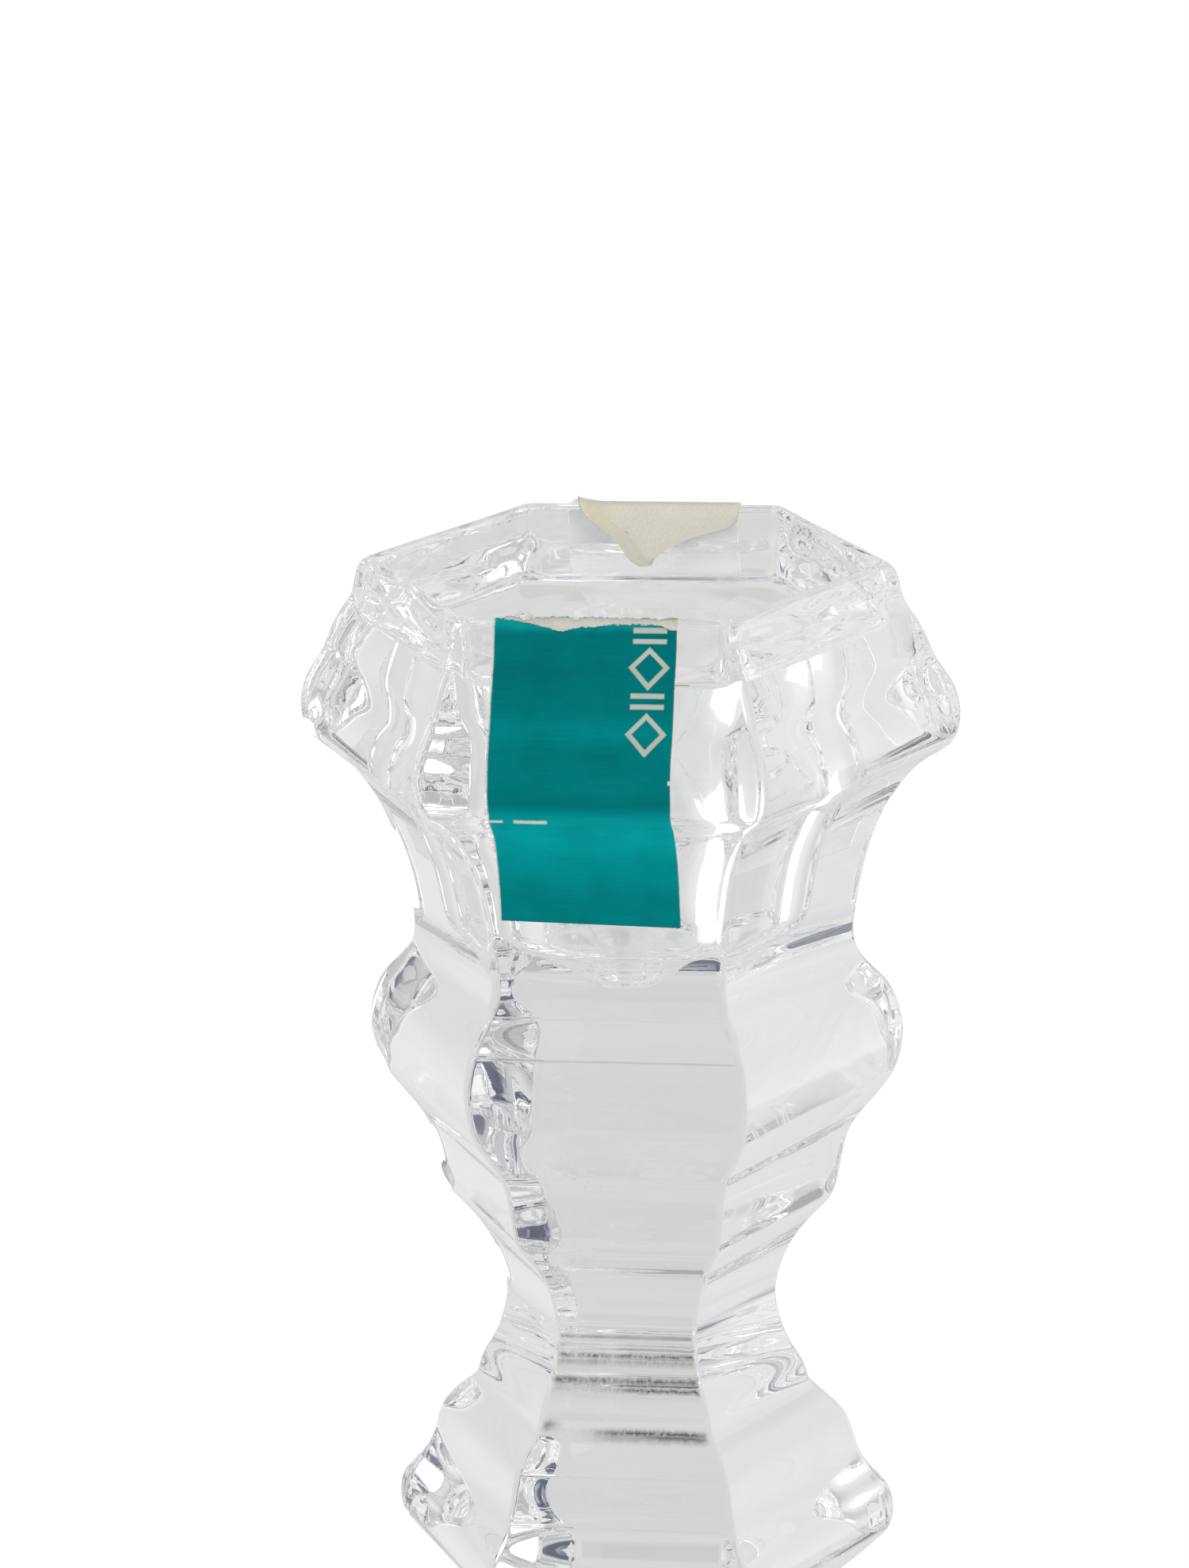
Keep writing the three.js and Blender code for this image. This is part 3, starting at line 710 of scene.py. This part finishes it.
def torn_paper(name, light, dark, dark_tint, stain_amount, teal_line=False, fold=False):
    k = Nodes(name)
    uv = k.n("ShaderNodeUVMap", uv_map="sheet").outputs[0]
    fibres = fibre_layers(k, uv)
    mott = k.noise(k.mapping(uv, (8, 20, 1)), 1.0, 3.0, 0.6)
    colour = k.mix(k.mapr(fibres, 0.36, 0.64, 0.0, 1.0), dark, light)
    colour = k.mix(k.mapr(mott, 0.50, 0.75, 0.0, stain_amount), colour, dark_tint)
    if teal_line:
        sep = k.n("ShaderNodeSeparateXYZ")
        k.link(uv, sep.inputs[0])
        x = k.math("MULTIPLY_ADD", sep.outputs[0], 20.0, -10.0)
        z = k.math("MULTIPLY_ADD", sep.outputs[1], LABEL_UV_DZ, LABEL_UV_Z0)
        ragged = k.math("ADD", z, k.math("MULTIPLY_ADD", k.noise(k.mapping(uv, (60, 40, 1)), 2.0, 3.0, 0.6), 0.10, -0.05))
        band = k.mapr(ragged, 69.50, 69.54, 0.0, 1.0)
        along = k.math("MULTIPLY", k.mapr(x, -6.3, -5.6, 0.0, 1.0), k.mapr(x, 2.4, 3.4, 1.0, 0.0))
        gaps = k.mapr(k.noise(k.mapping(uv, (30, 3, 1)), 1.0, 2.0, 0.6), 0.42, 0.50, 0.0, 0.9)
        colour = k.mix(k.math("MULTIPLY", k.math("MULTIPLY", band, along), gaps), colour, rgb(40, 140, 136))
        brown = k.math("MULTIPLY", k.mapr(x, 3.6, 4.6, 0.0, 1.0), k.mapr(ragged, 69.42, 69.5, 0.0, 0.65))
        colour = k.mix(brown, colour, rgb(144, 140, 124))
    if fold:
        # yellowed band folded over along the left edge of the tongue, its colour painted lighter to offset the shade of
        # its curl, with painted shade along its crease
        sep = k.n("ShaderNodeSeparateXYZ")
        k.link(k.n("ShaderNodeUVMap", uv_map="edge").outputs[0], sep.inputs[0])
        off = k.math("MULTIPLY_ADD", k.noise(k.mapping(uv, (24, 60, 1)), 1.0, 3.0, 0.6), 0.40, -0.20)
        from_edge = k.math("MULTIPLY_ADD", sep.outputs[0], 10.0, off)
        band = k.math("MULTIPLY", k.mapr(from_edge, 1.45, 1.75, 1.0, 0.0), sep.outputs[1])
        colour = k.mix(k.math("MULTIPLY", band, 0.80), colour, rgb(253, 249, 234))
        # painted shade along the crease line, together with scratches on the band
        line = k.math("MULTIPLY", k.mapr(k.math("ABSOLUTE", k.math("SUBTRACT", from_edge, 1.62)), 0.03, 0.16, 0.45, 0.0, True), sep.outputs[1])
        scratch = k.mapr(k.noise(k.mapping(uv, (30, 90, 1), rot=(0, 0, 0.7)), 1.6, 3.0, 0.65, 1.2), 0.60, 0.68, 0.0, 0.25)
        colour = k.mix(k.math("MAXIMUM", line, k.math("MULTIPLY", scratch, band)), colour, rgb(178, 168, 142))
        # painted light on the part still stuck to the outside, strongest under the rim
        sheet = k.n("ShaderNodeSeparateXYZ")
        k.link(uv, sheet.inputs[0])
        painted_light_near_rim = k.mapr(sheet.outputs[1], s_of_z(60.5) / 50, s_of_z(63.5) / 50, 0.0, 1.0, True)
        # paler paper colour here is painted light, darker lower down
        outer = k.mix(painted_light_near_rim, (0.850, 0.846, 0.826, 1), (0.985, 0.980, 0.965, 1))
        colour = k.mix(k.math("MULTIPLY_ADD", sep.outputs[1], -0.85, 0.85), colour, outer)
    k.principled(Base_Color=colour, Roughness=k.mapr(fibres, 0.3, 0.7, 0.92, 0.72),
                 Normal=k.bump(fibres, 0.6, 0.00015), Specular_IOR_Level=0.25)
    return k.m


def back_teal():
    k = Nodes("teal_printed_paper_back")
    uv = k.n("ShaderNodeUVMap", uv_map="sheet").outputs[0]
    sep = k.n("ShaderNodeSeparateXYZ")
    k.link(uv, sep.inputs[0])
    x = k.math("MULTIPLY_ADD", sep.outputs[0], 20.0, -10.0)
    s = k.math("MULTIPLY_ADD", sep.outputs[1], 50.0, 0.0)
    cloud = k.noise(k.mapping(uv, (5, 14, 1)), 1.0, 3.0, 0.55)
    lines = k.noise(k.mapping(uv, (4, 420, 1)), 1.0, 2.0, 0.5)
    grain = k.noise(k.mapping(uv, (420, 900, 1)), 1.0, 2.0, 0.6)
    tone = k.math("ADD", k.math("MULTIPLY", cloud, 0.42), k.math("ADD", k.math("MULTIPLY", lines, 0.14), k.math("MULTIPLY", grain, 0.44)))
    ink = k.mix(k.mapr(tone, 0.38, 0.62, 0.0, 1.0), rgb(0, 112, 113), rgb(0, 133, 135))
    fibres = fibre_layers(k, uv)
    paper = k.mix(k.mapr(fibres, 0.36, 0.64, 0.0, 1.0), rgb(186, 183, 170), rgb(216, 213, 203))
    # past the crest of the rim the print was torn away and bare paper shows
    ragged = k.math("ADD", s, k.math("MULTIPLY_ADD", k.noise(k.mapping(uv, (26, 30, 1)), 1.0, 4.0, 0.6), 1.6, -0.8))
    torn = k.mapr(ragged, s_crest - 1.35, s_crest - 1.2, 0.0, 1.0)
    yellow = k.math("MULTIPLY", k.mapr(ragged, s_crest - 0.8, s_crest + 0.2, 0.0, 1.0), k.mapr(x, -2.4, -5.8, 0.15, 0.75))
    paper = k.mix(yellow, paper, rgb(206, 200, 174))
    colour = k.mix(torn, ink, paper)
    k.principled(Base_Color=colour, Roughness=k.mapr(torn, 0, 1, 0.55, 0.85),
                 Normal=k.bump(k.math("ADD", fibres, k.math("MULTIPLY", torn, 0.2)), 0.5, 0.00015), Specular_IOR_Level=0.25)
    return k.m


glass.data.materials.append(glass_material())
paper_mat = torn_paper("torn_label_paper", rgb(200, 198, 189), rgb(172, 170, 160), rgb(160, 156, 142), 0.5, True)
label_core.data.materials.append(paper_mat)
label_core.data.materials.append(paper_mat)
label_print.data.materials.append(teal_print())
label_print.data.materials.append(paper_mat)
back_label.data.materials.append(back_teal())
back_label.data.materials.append(torn_paper("gummed_label_back", rgb(250, 248, 250), rgb(243, 241, 242), rgb(236, 232, 226), 0.35, fold=True))

# ------------------------------------------------------------------ camera
AZ, EL, DIST = math.radians(7.68589), math.radians(22.0353), 511.5426
ROLL, FOCAL = math.radians(-1.26264), 6961.279
AIM = (808.7778, 1625.8812)        # where the middle of the waist falls in the 1500 x 1978 picture
back = np.array([math.sin(AZ) * math.cos(EL), -math.cos(AZ) * math.cos(EL), math.sin(EL)])
right_v = np.array([math.cos(AZ), math.sin(AZ), 0.0])
up_v = np.cross(back, right_v)
base = np.stack([right_v * math.cos(ROLL) + up_v * math.sin(ROLL), -right_v * math.sin(ROLL) + up_v * math.cos(ROLL), back])
aim = np.array([(AIM[0] - 750) / FOCAL, -(AIM[1] - 989) / FOCAL, -1.0])
aim /= np.linalg.norm(aim)
axis = np.cross([0, 0, -1.0], aim)
sin_a, cos_a = np.linalg.norm(axis), -aim[2]
axis /= sin_a
K = np.array([[0, -axis[2], axis[1]], [axis[2], 0, -axis[0]], [-axis[1], axis[0], 0]])
world_to_cam = (np.eye(3) + sin_a * K + (1 - cos_a) * K @ K) @ base
cam_data = bpy.data.cameras.new("camera")
cam_data.sensor_fit = "AUTO"
cam_data.sensor_width = 36.0
cam_data.lens = FOCAL / 1978 * 36.0
cam_data.clip_start, cam_data.clip_end = 0.01, 20
cam = bpy.data.objects.new("camera", cam_data)
scene.collection.objects.link(cam)
place = np.eye(4)
place[:3, :3] = world_to_cam.T
place[:3, 3] = (back * DIST + np.array([0, 0, WAIST])) * MM
cam.matrix_world = Matrix(place.tolist())
scene.camera = cam

# ------------------------------------------------------------------ stage and light
floor_me = bpy.data.meshes.new("floor")
F = 3.0
floor_me.from_pydata([(-F, -F, 0), (F, -F, 0), (F, F, 0), (-F, F, 0)], [], [(0, 1, 2, 3)])
floor = bpy.data.objects.new("floor", floor_me)
scene.collection.objects.link(floor)
floor.location.z = -0.0002
floor.visible_diffuse = floor.visible_glossy = floor.visible_transmission = False
k = Nodes("pale_floor")
seen = k.n("ShaderNodeEmission")
ground = k.coords()
reach = k.n("ShaderNodeVectorMath", operation="LENGTH")
k.link(k.mapping(ground, (1, 1, 0)), reach.inputs[0])
core = k.mapr(reach.outputs["Value"], 0.036, 0.056, 0.62, 1.0, True)
halo = k.mapr(reach.outputs["Value"], 0.045, 0.125, 0.86, 1.0, True)
shadow = k.math("MULTIPLY", core, halo)
k.link(k.mix(shadow, (0.0, 0.0, 0.02, 1), (1, 1, 1, 1)), seen.inputs["Color"])
seen.inputs["Strength"].default_value = 1.0
k.link(seen.outputs[0], k.out.inputs["Surface"])
floor_me.materials.append(k.m)


class World(Nodes):
    """The studio round the object: pale backdrop and table, a large soft box at the right, a dimmer one at the left, a dark room behind the camera."""

    def __init__(self):
        self.m = bpy.data.worlds.new("studio")
        self.m.use_nodes = True
        self.t = self.m.node_tree
        self.t.nodes.clear()
        self.out = self.t.nodes.new("ShaderNodeOutputWorld")
        sep = self.n("ShaderNodeSeparateXYZ")
        self.dir = self.n("ShaderNodeTexCoord").outputs["Generated"]
        self.link(self.dir, sep.inputs[0])
        self.x, self.y, self.z = sep.outputs
        # bearing in degrees, 0 away from the camera (+Y) and 90 to the right (+X), and height above the horizon
        self.az = self.math("MULTIPLY", self.math("ARCTAN2", self.x, self.y), 180 / math.pi)
        self.el = self.math("MULTIPLY", self.math("ARCSINE", self.z), 180 / math.pi)

    def window(self, v, lo, hi, edge):
        return self.math("MULTIPLY", self.mapr(v, lo - edge, lo + edge, 0.0, 1.0, True), self.mapr(v, hi - edge, hi + edge, 1.0, 0.0, True))

    def blob(self, az, el, inner, outer):
        a, e = math.radians(az), math.radians(el)
        d = self.n("ShaderNodeVectorMath", operation="DOT_PRODUCT")
        self.link(self.dir, d.inputs[0])
        d.inputs[1].default_value = (math.sin(a) * math.cos(e), math.cos(a) * math.cos(e), math.sin(e))
        return self.mapr(d.outputs["Value"], math.cos(math.radians(outer)), math.cos(math.radians(inner)), 0.0, 1.0, True)


w = World()
tone = w.mix(w.blob(180, 8, 20, 115), (0.690, 0.685, 0.683, 1), (0.50, 0.505, 0.52, 1))      # backdrop to room
tone = w.mix(w.math("MULTIPLY", w.blob(70, 5, 10, 62), 0.85), tone, (0.935, 0.94, 0.955, 1))    # glow round the right box
tone = w.mix(w.math("MULTIPLY", w.blob(-92, 5, 10, 63), 0.82), tone, (0.89, 0.893, 0.905, 1))    # wall and card at the left
tone = w.mix(w.math("MULTIPLY", w.blob(0, -90, 35, 70), 0.85), tone, (0.755, 0.750, 0.745, 1))  # table top
tone = w.mix(w.math("MULTIPLY", w.blob(-14, -47, 5, 11), 0.95), tone, (0.635, 0.628, 0.622, 1))  # its shade behind the foot
tone = w.mix(w.math("MULTIPLY", w.window(w.az, 50, 92, 2.5), w.window(w.el, -24, 34, 2.5)), tone, (1.9, 1.9, 1.92, 1))
tone = w.mix(w.math("MULTIPLY", w.window(w.az, -112, -84, 2.5), w.window(w.el, -6, 34, 2.5)), tone, (0.955, 0.965, 0.985, 1))
tone = w.mix(w.math("MULTIPLY", w.blob(0, 90, 18, 34), 0.50), tone, (0.12, 0.14, 0.18, 1))      # dark ceiling
tone = w.mix(w.math("MULTIPLY", w.blob(-163, -4, 9, 18), 0.90), tone, (0.08, 0.11, 0.17, 1))   # dark stand beside the camera, down to the table edge
for az, el, inner, outer, much in ((-156, -21, 10, 18, 0.92), (-171, -27, 4, 10, 0.85), (-168, -40, 4, 9, 0.85), (172, -24, 5, 11, 0.60)):
    tone = w.mix(w.math("MULTIPLY", w.blob(az, el, inner, outer), much), tone, (0.08, 0.10, 0.15, 1))
tone = w.mix(w.math("MULTIPLY", w.blob(150, 30, 5, 13), 0.85), tone, (0.12, 0.13, 0.18, 1))
lit = w.n("ShaderNodeBackground")
w.link(tone, lit.inputs["Color"])
pure = w.n("ShaderNodeBackground")
pure.inputs["Color"].default_value = (1, 1, 1, 1)
lp = w.n("ShaderNodeLightPath")
mixw = w.n("ShaderNodeMixShader")
w.link(lp.outputs["Is Camera Ray"], mixw.inputs[0])
w.link(lit.outputs[0], mixw.inputs[1])
w.link(pure.outputs[0], mixw.inputs[2])
w.link(mixw.outputs[0], w.out.inputs["Surface"])
scene.world = w.m


def soft_light(name, loc, size, watts, aim, colour=(1, 1, 1)):
    """A soft area light that lights the paper but doesn't show in the glass."""
    data = bpy.data.lights.new(name, "AREA")
    data.shape, data.size, data.energy, data.color = "SQUARE", size, watts, colour
    ob = bpy.data.objects.new(name, data)
    scene.collection.objects.link(ob)
    ob.location = loc
    ob.rotation_mode = "QUATERNION"
    ob.rotation_quaternion = (Vector(aim) - Vector(loc)).to_track_quat("-Z", "Y")
    ob.visible_glossy = ob.visible_transmission = ob.visible_camera = False
    return ob


soft_light("key_left", (-0.62, -0.42, 0.14), 0.35, 3.8, (0, 0, 0.175))
soft_light("key_right", (0.62, -0.42, 0.14), 0.35, 3.8, (0, 0, 0.175))
soft_light("key_low", (-0.05, -0.55, 0.012), 0.30, 1.0, (0, 0, 0.175))
soft_light("key_high", (-0.35, -0.55, 0.65), 0.40, 1.4, (0, 0, 0.175))
soft_light("back", (0.20, 0.80, 0.40), 0.50, 5.0, (0, 0, 0.175))

scene.view_settings.view_transform = "Standard"
scene.cycles.max_bounces = 40
scene.cycles.glossy_bounces = 24
scene.cycles.transmission_bounces = 32
scene.cycles.transparent_max_bounces = 16
